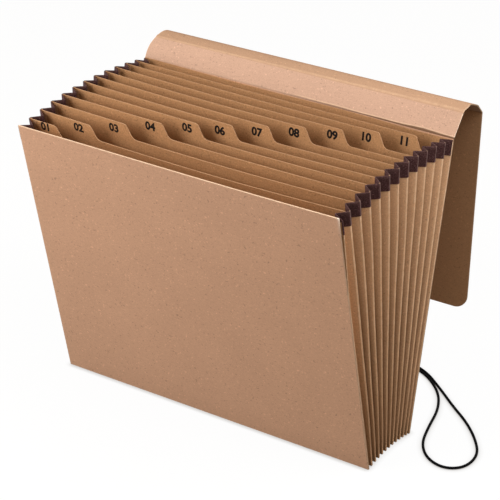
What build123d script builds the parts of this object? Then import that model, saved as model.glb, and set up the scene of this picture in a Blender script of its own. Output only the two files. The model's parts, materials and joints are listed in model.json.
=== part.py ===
from build123d import *
import os
from math import asin, atan2, cos, degrees, radians, sin, sqrt, tan

# Accordion file folder for letter paper, standing open with its flap thrown back.
# Millimetres and degrees. +Z is up, +X is right as seen from the front, the front faces -Y.
# The panels stand like the ribs of a fan, all in planes through one line below the floor.
# "Upright" below means drawn with that line as the X axis, before a piece is leaned and set down.

# Pockets and panels
pocket_count = 12
panel_width = 304.8
panel_height = 254.0
pocket_mouth = 14.6
pocket_foot = 5.55
cover_board = 1.0
divider_sheet = 0.5
liner_sheet = 0.4
liner_drop = 1.0

# Index tabs: each divider is high as far as its tab and low beyond it
tab_drop = 12.5
tab_slope_run = 6.2
tab_shoulder_radius = 3.5
tab_foot_radius = 6.0
first_tab_end = 27.0
last_tab_margin = 26.0

# Pleated gussets, and the tape folded over their tops
gusset_sheet = 0.35
gusset_wall = 10.5
gusset_flange = 6.0
tape_sheet = 0.25
tape_glue = 0.1
tape_height = 12.7

# Flap: a riser, three narrow roof strips and the cover, with scores between them.
# Rest directions are measured upwards from straight back.
score_rise = 1.5
score_gap = 0.1
riser_length = 25.4
roof_strip_length = 12.7
cover_length = 177.8
cover_corner_radius = 12.0
riser_direction = 50.0
roof_directions = (7.0, -25.0, -52.0)
cover_direction = -93.5

# Elastic cord, held by an eyelet in the rear panel and by a steel clip inside
cord_diameter = 2.4
cord_floor_gap = 0.1
cord_exit = 12.0
cord_bend_share = 0.45
cord_facets = 8
strand_spacing = 2.8
eyelet_height = 92.0
eyelet_bore = 6.0
eyelet_wall = 0.5
eyelet_flange_width = 2.0
eyelet_flange_sheet = 0.35
eyelet_hole_clearance = 0.05
clip_length = 18.0
clip_width = 7.5
clip_sheet = 1.0

# The fan that these sizes make
pocket_angle = 2 * degrees(asin((pocket_mouth - pocket_foot) / (2 * panel_height)))
foot_radius = pocket_foot / (2 * sin(radians(pocket_angle / 2)))
top_radius = foot_radius + panel_height
fan_half = pocket_angle * pocket_count / 2
fan_axis_z = -foot_radius * cos(radians(fan_half))
half_width = panel_width / 2
half_board = cover_board / 2
floor_cut = half_board * tan(radians(fan_half))


def panel_lean(index):
    """Backward lean of a panel, counted from the front panel, 0, to the rear panel."""
    return -fan_half + index * pocket_angle


def flap_sections():
    """Section of each strip of the flap as (depth, height) corners, pointed where it meets a score."""
    lengths = [riser_length] + [roof_strip_length] * len(roof_directions) + [cover_length]
    directions = [riser_direction, *roof_directions, cover_direction]
    y = (top_radius + score_rise) * sin(radians(fan_half))
    z = (top_radius + score_rise) * cos(radians(fan_half)) + fan_axis_z
    sections = []
    for direction, length in zip(directions, lengths):
        back = cos(radians(direction))
        up = sin(radians(direction))
        near = score_gap + half_board
        far = length - near
        corners = [(score_gap, 0), (near, half_board), (far, half_board), (length - score_gap, 0)]
        corners += [(far, -half_board), (near, -half_board)]
        if direction == cover_direction:
            corners[2:5] = [(length, half_board), (length, -half_board)]
        sections.append([(y + back * run - up * off, z + up * run + back * off) for run, off in corners])
        y += back * length
        z += up * length
    return sections


def middle_depth():
    """Half way from the folder's front to its back, where its origin lies."""
    front = -top_radius * sin(radians(fan_half)) - half_board * cos(radians(fan_half))
    rear = max(y for section in flap_sections() for y, _ in section)
    return (front + rear) / 2


def set_down(shape):
    """Move a shape from the fan's middle to the folder's origin."""
    return Pos(0, -middle_depth(), 0) * shape


def stand(shape, lean):
    """Lean a shape that was drawn upright, and set it on the floor."""
    return set_down(Pos(0, 0, fan_axis_z) * Rot(X=-lean) * shape)


def across(corners):
    """Solid as wide as the panels, from a section of (depth, height) corners."""
    section = Plane.YZ * make_face(Polyline(*corners, close=True))
    return extrude(section, amount=half_width, both=True)


def eyelet_place():
    """Where the eyelet's axis crosses the rear panel's middle plane, upright."""
    return Pos(0, 0, foot_radius + eyelet_height)


def eyelet_hole():
    """Cutter for the hole that the eyelet is set in, upright."""
    radius = eyelet_bore / 2 + eyelet_wall + eyelet_hole_clearance
    return eyelet_place() * Rot(X=90) * Cylinder(radius, 4 * (cover_board + liner_sheet))


def front_panel():
    """Front cover board, cut level where it stands on the floor."""
    corners = [
        (-half_board, foot_radius + floor_cut),
        (half_board, foot_radius - floor_cut),
        (half_board, top_radius),
        (-half_board, top_radius),
    ]
    return stand(across(corners), panel_lean(0))


def rear_panel():
    """Rear cover board, cut level at the floor and pointed at the flap's first score."""
    tip = top_radius + score_rise - score_gap
    corners = [
        (-half_board, foot_radius - floor_cut),
        (half_board, foot_radius + floor_cut),
        (half_board, tip - half_board),
        (0, tip),
        (-half_board, tip - half_board),
    ]
    return stand(across(corners) - eyelet_hole(), panel_lean(pocket_count))


def rear_liner():
    """Sheet glued over the inside of the rear panel."""
    inside = -half_board - liner_sheet
    top = top_radius - liner_drop
    corners = [(inside, foot_radius), (-half_board, foot_radius), (-half_board, top), (inside, top)]
    return stand(across(corners) - eyelet_hole(), panel_lean(pocket_count))


def divider(index):
    """Divider sheet with its index tab, which stands further right from sheet to sheet."""
    step = (panel_width - first_tab_end - last_tab_margin) / (pocket_count - 2)
    shoulder = -half_width + first_tab_end + (index - 1) * step
    low = top_radius - tab_drop
    top_edge = FilletPolyline(
        (-half_width, top_radius),
        (shoulder, top_radius),
        (shoulder + tab_slope_run, low),
        (half_width, low),
        radius=[tab_shoulder_radius, tab_foot_radius],
    )
    other_edges = Polyline(
        (half_width, low), (half_width, foot_radius), (-half_width, foot_radius), (-half_width, top_radius)
    )
    outline = Plane.XZ * make_face([*top_edge.edges(), *other_edges.edges()])
    return stand(extrude(outline, amount=divider_sheet / 2, both=True), panel_lean(index))


def glued_face(index):
    """Distance from a panel's middle plane to the face that a gusset is glued to."""
    if index == 0:
        return half_board
    if index == pocket_count:
        return half_board + liner_sheet
    return divider_sheet / 2


def pocket_faces(pocket, height):
    """Depths of the two panel faces of a pocket, at a height with the pocket's middle upright."""
    spread = radians(pocket_angle / 2)
    front = glued_face(pocket - 1) / cos(spread) - height * tan(spread)
    rear = height * tan(spread) - glued_face(pocket) / cos(spread)
    return front, rear


def pleat_foot():
    """Height of a gusset's lower edge, with the pocket's middle upright."""
    return foot_radius * cos(radians(pocket_angle / 2))


def pleat_top():
    """Height of a gusset's upper edge, with the pocket's middle upright."""
    return top_radius * cos(radians(pocket_angle / 2))


def wall_spread(pocket, height):
    """How far one wall of a pleat reaches across its pocket."""
    front, rear = pocket_faces(pocket, height)
    return (rear - front) / 2 - 2 * gusset_sheet


def valley_inset(pocket, height):
    """How far a pleat's valley lies in from the panels' edges: a straight run from foot to top."""
    foot_inset = sqrt(gusset_wall ** 2 - wall_spread(pocket, pleat_foot()) ** 2)
    top_inset = sqrt(gusset_wall ** 2 - wall_spread(pocket, pleat_top()) ** 2)
    share = (height - pleat_foot()) / (pleat_top() - pleat_foot())
    return foot_inset + share * (top_inset - foot_inset)


def pleat_corner(pocket, height, inset, sheets, at):
    """Corner of a pleat: a number of sheets off the front or rear panel, or on the valley line."""
    front, rear = pocket_faces(pocket, height)
    depths = {"front": front + sheets * gusset_sheet, "rear": rear - sheets * gusset_sheet}
    return inset, depths.get(at, (front + rear) / 2), height


def pleat_section(pocket, height, mitred):
    """Folded strip of a gusset: flange, wall, wall and flange, cut level or along its corner's mitre."""
    inset = valley_inset(pocket, height)
    slope = atan2(wall_spread(pocket, height), inset)
    inner_inset = inset + gusset_sheet / sin(slope)
    crease = gusset_sheet * tan(slope / 2)
    outside = [(gusset_flange, 0), (0, 0), (0, 2)]
    inside = [(crease, 1), (gusset_flange, 1)]
    corners = [(*corner, "front") for corner in outside]
    corners += [(inset, 0, "valley")]
    corners += [(*corner, "rear") for corner in reversed(outside)]
    corners += [(*corner, "rear") for corner in reversed(inside)]
    corners += [(inner_inset, 0, "valley")]
    corners += [(*corner, "front") for corner in inside]
    return [pleat_corner(pocket, height + mitred * corner[0], *corner) for corner in corners]


def tape_start(pocket):
    """Inset at which the tape's inner layer comes clear of the flange below it."""
    low = pleat_top() - tape_height
    slope = atan2(wall_spread(pocket, low), valley_inset(pocket, low))
    stack = gusset_sheet + tape_sheet + tape_glue
    return (stack / cos(slope) - gusset_sheet + tape_glue) / tan(slope)


def tape_corner(pocket, at, offset, height):
    """Point an offset outwards from a gusset wall, where its tape starts or at the valley line."""
    inset = valley_inset(pocket, height)
    slope = atan2(wall_spread(pocket, height), inset)
    if at == "valley":
        return pleat_corner(pocket, height, inset - offset / sin(slope), 0, at)
    start = tape_start(pocket)
    reach = start * tan(slope) + offset / cos(slope)
    return pleat_corner(pocket, height, start, 2 + reach / gusset_sheet, at)


def tape_section(pocket, at):
    """Tape folded over a gusset wall, seen along the wall: an upside-down U."""
    low = pleat_top() - tape_height
    cap = pleat_top() + tape_glue
    outside = tape_glue + tape_sheet
    inside = -gusset_sheet - tape_glue
    layers = [
        (tape_glue, low),
        (outside, low),
        (outside, cap + tape_sheet),
        (inside - tape_sheet, cap + tape_sheet),
        (inside - tape_sheet, low),
        (inside, low),
        (inside, cap),
        (tape_glue, cap),
    ]
    return [tape_corner(pocket, at, offset, height) for offset, height in layers]


def at_side(section, side):
    """Points of a pleat's section on the right, side 1, or the left, side -1."""
    return [Vector(side * (half_width - inset), depth, height) for inset, depth, height in section]


def flat_face(*corners):
    """Plane face with the given corners."""
    return make_face(Polyline(*corners, close=True)).face()


def twisted_side(near, far):
    """Ruled face between two edges, which may twist."""
    return [Face.make_surface_from_curves(Edge.make_line(*near), Edge.make_line(*far))]


def creased_side(near, far):
    """Two flat faces between two edges that are almost in one plane."""
    return [flat_face(*near, far[1]), flat_face(near[0], far[1], far[0])]


def folded_solid(sections, side_faces):
    """Solid through closed sections, with each corner joined straight to the same corner of the next."""
    faces = [flat_face(*sections[0]), flat_face(*sections[-1])]
    for near, far in zip(sections, sections[1:]):
        for index in range(len(near)):
            faces += side_faces((near[index - 1], near[index]), (far[index - 1], far[index]))
    return Solid(Shell(faces))


def pocket_lean(pocket):
    """Backward lean of a pocket's middle plane, pockets counted from 1 at the front."""
    return panel_lean(pocket) - pocket_angle / 2


def gusset(pocket):
    """Pleated gusset up both sides and along the foot of a pocket, mitred at its corners."""
    top = pleat_section(pocket, pleat_top(), 0)
    corner = pleat_section(pocket, pleat_foot(), 1)
    sections = [at_side(top, -1), at_side(corner, -1), at_side(corner, 1), at_side(top, 1)]
    return stand(folded_solid(sections, twisted_side), pocket_lean(pocket))


def gusset_tape(pocket, side):
    """Tape folded over the top of a pocket's gusset, at its left or right side."""
    sections = [at_side(tape_section(pocket, at), side) for at in ("front", "valley", "rear")]
    return stand(folded_solid(sections, creased_side), pocket_lean(pocket))


def flap_strip(section):
    """Strip of the flap between two scores."""
    return set_down(across(section))


def flap_cover(section):
    """Free part of the flap, with rounded corners."""
    cover = across(section)
    corner_edges = [edge for edge in cover.edges() if abs(edge.length - cover_board) < score_gap]
    return set_down(fillet(corner_edges, radius=cover_corner_radius))


def cord_eyelet():
    """Rolled metal eyelet through the rear panel and its liner."""
    bore = eyelet_bore / 2
    barrel = bore + eyelet_wall
    rim = barrel + eyelet_flange_width
    inside = -half_board - liner_sheet
    outside = half_board
    profile = Polyline(
        (bore, inside - eyelet_flange_sheet),
        (rim, inside - eyelet_flange_sheet),
        (rim, inside),
        (barrel, inside),
        (barrel, outside),
        (rim, outside),
        (rim, outside + eyelet_flange_sheet),
        (bore, outside + eyelet_flange_sheet),
        close=True,
    )
    ring = revolve(make_face(profile), axis=Axis.Y)
    return stand(eyelet_place() * ring, panel_lean(pocket_count))


def clip_face():
    """Depth of the clip's rear face, on the eyelet's inner flange, upright."""
    return -half_board - liner_sheet - eyelet_flange_sheet


def cord_clip():
    """Flat steel clip that holds both ends of the cord inside the last pocket."""
    plate = extrude(Plane.XZ * SlotOverall(clip_length, clip_width), amount=clip_sheet)
    return stand(eyelet_place() * Pos(0, clip_face(), 0) * plate, panel_lean(pocket_count))


def cord_route():
    """Points of the cord: out of the eyelet, down behind the folder, round its loop and back."""
    lie = cord_diameter / 2 + cord_floor_gap
    lean = radians(panel_lean(pocket_count))
    radius = foot_radius + eyelet_height

    def at_eyelet(x, depth):
        y = depth * cos(lean) + radius * sin(lean)
        z = fan_axis_z - depth * sin(lean) + radius * cos(lean)
        return x, y, z

    left = -strand_spacing / 2
    right = strand_spacing / 2
    route = [at_eyelet(left, clip_face()), at_eyelet(left, cord_exit)]
    route += [(-1.0, 77.0, 73.0), (4.0, 87.0, 50.0), (14.0, 98.0, 27.0), (30.0, 110.0, 9.0)]
    floor = [(51.0, 121.5), (79.0, 129.0), (109.5, 125.6), (137.5, 103.6), (152.5, 77.5), (160.0, 47.0)]
    floor += [(168.0, 22.0), (184.0, 4.0), (204.0, -1.5), (219.0, 10.0), (218.0, 34.0), (204.5, 54.5)]
    floor += [(184.0, 73.0), (162.0, 88.0), (139.3, 106.2), (111.0, 128.4), (79.5, 133.5), (49.5, 126.0)]
    route += [(x, y, lie) for x, y in floor]
    route += [(26.5, 114.0, 9.0), (12.0, 102.5, 27.0), (6.0, 91.0, 50.0), (2.5, 79.0, 73.0)]
    route += [at_eyelet(right, cord_exit), at_eyelet(right, clip_face())]
    return [Vector(x, y - middle_depth(), z) for x, y, z in route]


def cord_radii(route):
    """Largest bend that the runs on both sides of each point leave room for."""
    radii = []
    for before, point, after in zip(route, route[1:], route[2:]):
        turn = (point - before).get_angle(after - point)
        run = min((point - before).length, (after - point).length)
        radii.append(cord_bend_share * run / tan(radians(turn / 2)))
    return radii


def elastic_cord():
    """Elastic cord, one loop with both ends in the eyelet."""
    route = cord_route()
    radii = cord_radii(route)
    path = FilletPolyline(*route, radius=radii)
    section = Plane(origin=path @ 0, z_dir=path % 0) * RegularPolygon(cord_diameter / 2, cord_facets)
    print("cord length", round(path.length, 1), "bend radii", [round(radius, 1) for radius in radii])
    return sweep(section, path=path)


def nodes():
    """Every piece of the folder by name."""
    made = {"front_panel": front_panel(), "rear_panel": rear_panel(), "rear_liner": rear_liner()}
    for index in range(1, pocket_count):
        made[f"divider_{index:02d}"] = divider(index)
    for pocket in range(1, pocket_count + 1):
        made[f"gusset_{pocket:02d}"] = gusset(pocket)
        made[f"gusset_tape_left_{pocket:02d}"] = gusset_tape(pocket, -1)
        made[f"gusset_tape_right_{pocket:02d}"] = gusset_tape(pocket, 1)
    *strips, cover = flap_sections()
    strip_names = ["flap_riser"] + [f"flap_roof_{number}" for number in range(1, len(strips))]
    for name, section in zip(strip_names, strips):
        made[name] = flap_strip(section)
    made["flap_cover"] = flap_cover(cover)
    made["cord_eyelet"] = cord_eyelet()
    made["cord_clip"] = cord_clip()
    made["elastic_cord"] = elastic_cord()
    return made


os.makedirs("parts", exist_ok=True)
for name, piece in nodes().items():
    export_step(piece, f"parts/{name}.step")
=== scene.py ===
import json
import math
import bpy
import numpy as np
from mathutils import Matrix, Vector


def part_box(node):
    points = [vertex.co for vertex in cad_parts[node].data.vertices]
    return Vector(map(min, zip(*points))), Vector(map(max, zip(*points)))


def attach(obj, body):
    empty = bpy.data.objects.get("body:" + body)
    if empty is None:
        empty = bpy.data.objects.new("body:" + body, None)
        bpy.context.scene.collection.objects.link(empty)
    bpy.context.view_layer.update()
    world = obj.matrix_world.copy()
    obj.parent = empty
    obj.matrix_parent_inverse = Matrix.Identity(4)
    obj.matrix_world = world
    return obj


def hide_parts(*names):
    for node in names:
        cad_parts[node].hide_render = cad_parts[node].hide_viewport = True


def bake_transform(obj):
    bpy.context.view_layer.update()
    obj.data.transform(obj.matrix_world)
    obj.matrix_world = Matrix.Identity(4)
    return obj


# Looks of the accordion file folder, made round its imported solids. Lengths are metres and angles radians,
# unless a comment says otherwise. +Z is up, +X is right as seen from the front, and the front faces -Y.
# Panels are counted from the front, 0, to the rear.

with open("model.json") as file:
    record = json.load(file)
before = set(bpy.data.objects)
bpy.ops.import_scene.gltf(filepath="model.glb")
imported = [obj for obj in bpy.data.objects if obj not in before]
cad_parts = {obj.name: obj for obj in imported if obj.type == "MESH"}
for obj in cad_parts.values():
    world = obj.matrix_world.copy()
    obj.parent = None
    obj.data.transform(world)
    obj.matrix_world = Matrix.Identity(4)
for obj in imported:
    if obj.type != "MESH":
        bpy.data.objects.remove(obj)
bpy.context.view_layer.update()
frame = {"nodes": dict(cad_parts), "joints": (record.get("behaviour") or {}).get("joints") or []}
rng = np.random.default_rng(12)
scene = bpy.context.scene

# Sheets, folds and cord, as in the solids
mm = 0.001
cover_board = 1.0 * mm
divider_sheet = 0.5 * mm
liner_sheet = 0.4 * mm
tab_drop = 12.5 * mm
tab_slope_run = 6.2 * mm
tab_shoulder_radius = 3.5 * mm
tab_foot_radius = 6.0 * mm
gusset_sheet = 0.35 * mm
gusset_wall = 10.5 * mm
gusset_flange = 6.0 * mm
tape_sheet = 0.25 * mm
tape_glue = 0.1 * mm
tape_height = 12.7 * mm
corner_radius = 12.0 * mm
cord_diameter = 2.4 * mm
eyelet_height = 92.0 * mm

# How far apart two places may be and still count as one
same_reach = 0.01 * mm
same_height = 0.005 * mm
same_end = 0.1 * mm
hair = 0.001 * mm

# Wear along edges, and columns across a board
wear_width = 0.8 * mm
wear_fade = 0.6 * wear_width
wear_steps = wear_width * np.array([0.3, 1.0])
side_wear = 0.8
board_columns = 33


def mesh_points(mesh):
    points = np.empty(len(mesh.vertices) * 3)
    mesh.vertices.foreach_get("co", points)
    return points.reshape(-1, 3)


def node_points(node):
    return mesh_points(frame["nodes"][node].data)


joints = {joint["name"]: joint for joint in frame["joints"]}
pocket_count = sum(name.startswith("pocket_") for name in joints)
axis_y, axis_z = joints[f"pocket_{pocket_count:02d}_fold"]["pos_m"][1:]
leaf_numbers = range(1, pocket_count)
panel_nodes = ["front_panel"] + [f"divider_{k:02d}" for k in leaf_numbers] + ["rear_panel"]
panel_bodies = ["front"] + [f"leaf_{k:02d}" for k in leaf_numbers] + ["rear"]


def lean_of(node):
    """Backward lean of a panel, from its solid's points farthest from the fan's axis."""
    points = node_points(node)
    depth = points[:, 1] - axis_y
    height = points[:, 2] - axis_z
    reach = np.hypot(depth, height)
    angles = np.arctan2(depth, height)[reach > reach.max() - same_reach]
    return (angles.min() + angles.max()) / 2


def radii_of(node):
    """Radius of every point of a panel's solid, along the panel from the fan's axis."""
    points = node_points(node)
    lean = lean_of(node)
    return (points[:, 1] - axis_y) * math.sin(lean) + (points[:, 2] - axis_z) * math.cos(lean)


leans = [lean_of(node) for node in panel_nodes]
half_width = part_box("front_panel")[1].x
foot_radius = radii_of("divider_01").min()
top_radius = radii_of("divider_01").max()
panel_height = top_radius - foot_radius
spread = (leans[-1] - leans[0]) / pocket_count / 2
pleat_foot = foot_radius * math.cos(spread)
pleat_top = top_radius * math.cos(spread)


def unit(vectors):
    return vectors / np.linalg.norm(vectors, axis=-1, keepdims=True)


def on_panel(lean, x, radius, depth):
    """Place at a radius from the fan's axis and a depth behind a panel's middle plane."""
    x, radius, depth = np.broadcast_arrays(x, radius, depth)
    y = axis_y + radius * math.sin(lean) + depth * math.cos(lean)
    z = axis_z + radius * math.cos(lean) - depth * math.sin(lean)
    return np.stack([x, y, z], axis=-1)


# Materials

white = (1, 1, 1, 1)
worn_paper = (0.72, 0.49, 0.33)
# Deep brown of painted shade, mixed in where a sheet's points ask for it
painted_shade_colour = (0.105, 0.050, 0.022, 1)
fray_colour = (0.90, 0.80, 0.70, 1)
tape_dark = (0.030, 0.012, 0.011, 1)
tape_light = (0.085, 0.036, 0.036, 1)
tape_speck = (0.19, 0.10, 0.105, 1)
tape_worn = (0.27, 0.18, 0.16, 1)
yarn_dark = (0.0015, 0.0015, 0.002, 1)
yarn_light = (0.005, 0.005, 0.005, 1)
yarn_fuzz = (0.012, 0.012, 0.012, 1)
ink_full = (0.010, 0.008, 0.007, 1)
ink_thin = (0.08, 0.05, 0.035, 1)

# Sockets of a mix node that works on colours, and of the shader
mix_sockets = (0, 6, 7)
mix_result = 2
shader_sockets = {"specular": "Specular IOR Level", "sheen": "Sheen Weight", "metallic": "Metallic"}


def feed(socket, value):
    """Gives a socket a value, or a link from another node's output."""
    if isinstance(value, bpy.types.NodeSocket):
        socket.id_data.links.new(value, socket)
    else:
        socket.default_value = value


def add_node(tree, kind, inputs=(), **settings):
    """New shader node. An input is a value or another node's output."""
    made = tree.nodes.new("ShaderNode" + kind)
    for name, value in settings.items():
        setattr(made, name, value)
    for socket, value in inputs:
        feed(made.inputs[socket], value)
    return made


def new_material(name):
    material = bpy.data.materials.new(name)
    material.use_nodes = True
    return material, material.node_tree, material.node_tree.nodes["Principled BSDF"]


def finish_shader(shader, colour, roughness, bump=None, **values):
    """Feeds a shader its colour, roughness and other values, and a bump of (height, strength, distance)."""
    feed(shader.inputs["Base Color"], colour)
    feed(shader.inputs["Roughness"], roughness)
    for name, value in values.items():
        feed(shader.inputs[shader_sockets[name]], value)
    if bump:
        made = add_node(shader.id_data, "Bump", zip(("Height", "Strength", "Distance"), bump))
        feed(shader.inputs["Normal"], made.outputs["Normal"])


def stored(tree, name):
    return add_node(tree, "Attribute", attribute_name=name).outputs["Fac"]


def rest_place(tree):
    return add_node(tree, "Attribute", attribute_name="rest").outputs["Vector"]


def noise(place, scale, detail=2.0, roughness=0.5, stretch=None, turn=0.0):
    """Noise of a scale per metre, stretched along X after a turn about Y."""
    if stretch:
        inputs = [("Vector", place), ("Rotation", (0, turn, 0)), ("Scale", (1 / stretch, 1, 1))]
        place = add_node(place.id_data, "Mapping", inputs).outputs["Vector"]
    inputs = [("Vector", place), ("Scale", scale), ("Detail", detail), ("Roughness", roughness)]
    return add_node(place.id_data, "TexNoise", inputs).outputs["Fac"]


def ranged(value, low, high, to_low=0.0, to_high=1.0):
    names = ("Value", "From Min", "From Max", "To Min", "To Max")
    inputs = zip(names, (value, low, high, to_low, to_high))
    return add_node(value.id_data, "MapRange", inputs).outputs["Result"]


def maths(operation, first, second):
    inputs = [(0, first), (1, second)]
    return add_node(first.id_data, "Math", inputs, operation=operation).outputs[0]


def mixed(factor, first, second):
    """Mix of two colours, each a value or an output."""
    inputs = zip(mix_sockets, (factor, first, second))
    return add_node(factor.id_data, "Mix", inputs, data_type="RGBA").outputs[mix_result]


def tone(colour, factor):
    return tuple(min(1.0, part * factor) for part in colour) + (1.0,)


def paper(name, colour, worn_colour=worn_paper, speckle=0.5, graininess=0.16):
    """Kraft paper: clouds, grain, fibres, specks and flecks. Its points say where it is worn, where painted
    highlight lightens it and where painted shade darkens it.
    """
    material, tree, shader = new_material(name)
    place = rest_place(tree)
    clouds = noise(place, scale=22, detail=3)
    grain = noise(place, scale=800, roughness=0.7)
    fibres = noise(place, scale=1500, stretch=9, turn=0.25)
    strays = noise(place, scale=1100, stretch=7, turn=-0.9)
    short_hairs = noise(place, scale=2600, detail=1, stretch=4, turn=0.75)
    cross_hairs = noise(place, scale=2300, detail=1, stretch=3, turn=-0.6)
    specks = maths("MAXIMUM", short_hairs, cross_hairs)
    flecks = noise(place, scale=520, detail=1)
    patches = noise(place, scale=260, detail=3)
    grain_makeup = graininess / 4
    dim = tone(colour, 0.97 + grain_makeup)
    bright = tone(colour, 1.025 + grain_makeup)
    base = mixed(ranged(clouds, 0.3, 0.7), dim, bright)
    layers = (
        (grain, 0.35, 0.65, graininess, 0.5),
        (fibres, 0.56, 0.8, 0.35, 0.72),
        (strays, 0.6, 0.8, 0.4, 1.28),
        (specks, 0.64, 0.74, speckle, 0.55),
        (flecks, 0.68, 0.73, 0.7, 0.55),
        (flecks, 0.32, 0.27, 0.7, 1.35),
    )
    for layer, none_at, full_at, strength, shade in layers:
        base = mixed(ranged(layer, none_at, full_at, 0, strength), base, tone(colour, shade))
    # Wear, and on the gusset walls a painted highlight, lightens the paper towards its worn colour
    rubbed = maths("MULTIPLY", stored(tree, "wear"), ranged(patches, 0.3, 0.6, 0.35, 1.0))
    base = mixed(rubbed, base, (*worn_colour, 1.0))
    base = mixed(stored(tree, "fray"), base, fray_colour)
    # Painted shade: darkens the paper towards a deep brown where the points say
    base = mixed(stored(tree, "painted_shade"), base, painted_shade_colour)
    roughness = ranged(fibres, 0.3, 0.7, 0.92, 0.74)
    finish_shader(shader, base, roughness, (fibres, 0.35, 0.06 * mm), specular=0.06)
    return material


def tape_cloth(name):
    """Dark book tape: a maroon ground with lighter specks, rubbed pale along its folds."""
    material, tree, shader = new_material(name)
    place = rest_place(tree)
    weave = noise(place, scale=1300)
    specks = noise(place, scale=800, detail=1, roughness=0.6)
    patches = noise(place, scale=300, detail=3)
    base = mixed(ranged(weave, 0.35, 0.7), tape_dark, tape_light)
    base = mixed(ranged(specks, 0.6, 0.72, 0, 0.5), base, tape_speck)
    rubbed = maths("MULTIPLY", stored(tree, "wear"), ranged(patches, 0.3, 0.6, 0.2, 0.7))
    base = mixed(rubbed, base, tape_worn)
    roughness = ranged(weave, 0.3, 0.7, 0.85, 0.65)
    finish_shader(shader, base, roughness, (weave, 0.5, 0.08 * mm), specular=0.1)
    return material


def braid(name):
    """Black elastic cord: yarns of two near-black tones that cross, with a soft sheen."""
    material, tree, shader = new_material(name)
    fuzz = noise(rest_place(tree), scale=2500)
    base = mixed(stored(tree, "yarn"), yarn_dark, yarn_light)
    base = mixed(ranged(fuzz, 0.55, 0.8, 0, 0.4), base, yarn_fuzz)
    roughness = ranged(fuzz, 0.3, 0.7, 0.55, 0.75)
    finish_shader(shader, base, roughness, sheen=0.01, specular=0.025)
    return material


def metal(name, colour, smoothest):
    """Sheet metal with fine scratches and a little tarnish."""
    material, tree, shader = new_material(name)
    place = add_node(tree, "TexCoord").outputs["Object"]
    tarnish = noise(place, scale=350, detail=3)
    scratches = noise(place, scale=3000, stretch=12, turn=0.4)
    base = mixed(ranged(tarnish, 0.35, 0.75), (*colour, 1.0), tone(colour, 0.62))
    roughness = ranged(scratches, 0.3, 0.7, smoothest, smoothest + 0.18)
    finish_shader(shader, base, roughness, (scratches, 0.2, 0.02 * mm), metallic=1.0)
    return material


def ink(name):
    """Printed black, a little thin where the paper's fibres stand up."""
    material, tree, shader = new_material(name)
    gaps = noise(rest_place(tree), scale=1600)
    base = mixed(ranged(gaps, 0.58, 0.75, 0, 0.35), ink_full, ink_thin)
    finish_shader(shader, base, ranged(gaps, 0.3, 0.7, 0.6, 0.8), specular=0.1)
    return material


board = paper("kraft_board", (0.59, 0.345, 0.225))
# The flap is one board: the riser's pinker copy is painted light, the roof's darker and the cover's more
# saturated copies are painted shade
riser_paper_lit = paper("riser_board_painted_light", (0.535, 0.340, 0.247))
roof_paper_shaded = paper("roof_board_painted_shade", (0.465, 0.285, 0.182))
cover_paper_shaded = paper("cover_inner_board_painted_shade", (0.58, 0.330, 0.180))
# Dividers and liner: darker, more saturated kraft than the board, partly its own tone and partly painted
# shade inside the pockets
divider_paper_shaded = paper("divider_paper_shaded", (0.47, 0.250, 0.118), graininess=0.4)
gusset_paper = paper("gusset_paper", (0.62, 0.365, 0.208), (0.82, 0.60, 0.41), graininess=0.36)
# Cut edge of dividers, liner and pleats, darker than the board's cut edge: painted shade
divider_edge_shaded = paper("divider_edge_shaded", (0.52, 0.300, 0.165), speckle=0.3)
cut_edge = paper("cut_edge", (0.64, 0.42, 0.28), (0.74, 0.53, 0.38), speckle=0.3)
# Lit and shaded copies of the cut edge: painted highlight on the riser's edge, painted shade on the flap's
# further edges and the rear board's
painted_lit_edge = paper("painted_lit_edge", (0.78, 0.58, 0.44), (0.84, 0.68, 0.54), speckle=0.3)
shaded_edge = paper("shaded_edge", (0.26, 0.165, 0.10), (0.34, 0.23, 0.15), speckle=0.3)
tape_material = tape_cloth("gusset_tape")
cord_material = braid("braided_elastic")
brass = metal("eyelet_brass", (0.80, 0.58, 0.26), 0.28)
steel = metal("clip_steel", (0.62, 0.62, 0.60), 0.32)
ink_material = ink("tab_ink")


# Mesh makers

def new_object(name, data):
    made = bpy.data.objects.new(name, data)
    scene.collection.objects.link(made)
    return made


def store(mesh, name, values, kind="FLOAT", field="value"):
    """Stores values on a mesh's points under a name."""
    attribute = mesh.attributes.new(name, kind, "POINT")
    attribute.data.foreach_set(field, np.asarray(values, dtype=np.float32).ravel())


def add_object(name, points, faces, materials, face_materials=None, wear=None, crease_degrees=35):
    """New piece that stores its rest places and keeps its sharp edges."""
    mesh = bpy.data.meshes.new(name)
    mesh.from_pydata(points.tolist(), [], [list(map(int, face)) for face in faces])
    for material in materials:
        mesh.materials.append(material)
    if face_materials is not None:
        mesh.polygons.foreach_set("material_index", np.asarray(face_materials, dtype=np.int32))
    mesh.shade_smooth()
    mesh.set_sharp_from_angle(angle=math.radians(crease_degrees))
    store(mesh, "rest", points, "FLOAT_VECTOR", "vector")
    if wear is not None:
        store(mesh, "wear", wear)
    return new_object(name, mesh)


def evaluated(curve):
    """Points and faces that a curve or text makes. The curve itself is removed."""
    carrier = new_object(curve.name, curve)
    bpy.context.view_layer.update()
    mesh = bpy.data.meshes.new_from_object(carrier)
    points = mesh_points(mesh)
    faces = [list(polygon.vertices) for polygon in mesh.polygons]
    bpy.data.objects.remove(carrier)
    bpy.data.curves.remove(curve)
    bpy.data.meshes.remove(mesh)
    return points, faces


def grid_faces(rows, columns):
    """Quads of a grid of points, counted row by row."""
    index = np.arange(rows * columns).reshape(rows, columns)
    corners = (index[:-1, :-1], index[:-1, 1:], index[1:, 1:], index[1:, :-1])
    return np.stack([part.ravel() for part in corners], axis=1)


def open_edges(faces):
    """Edges that only one face has, in that face's order."""
    edges = [(face[side - 1], face[side]) for face in faces.tolist() for side in range(len(face))]
    known = set(edges)
    return np.array([edge for edge in edges if edge[::-1] not in known])


def both_sides(values):
    """Values on a sheet's grid, for one side of it and then the other."""
    return np.tile(np.ravel(values), 2)


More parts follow.
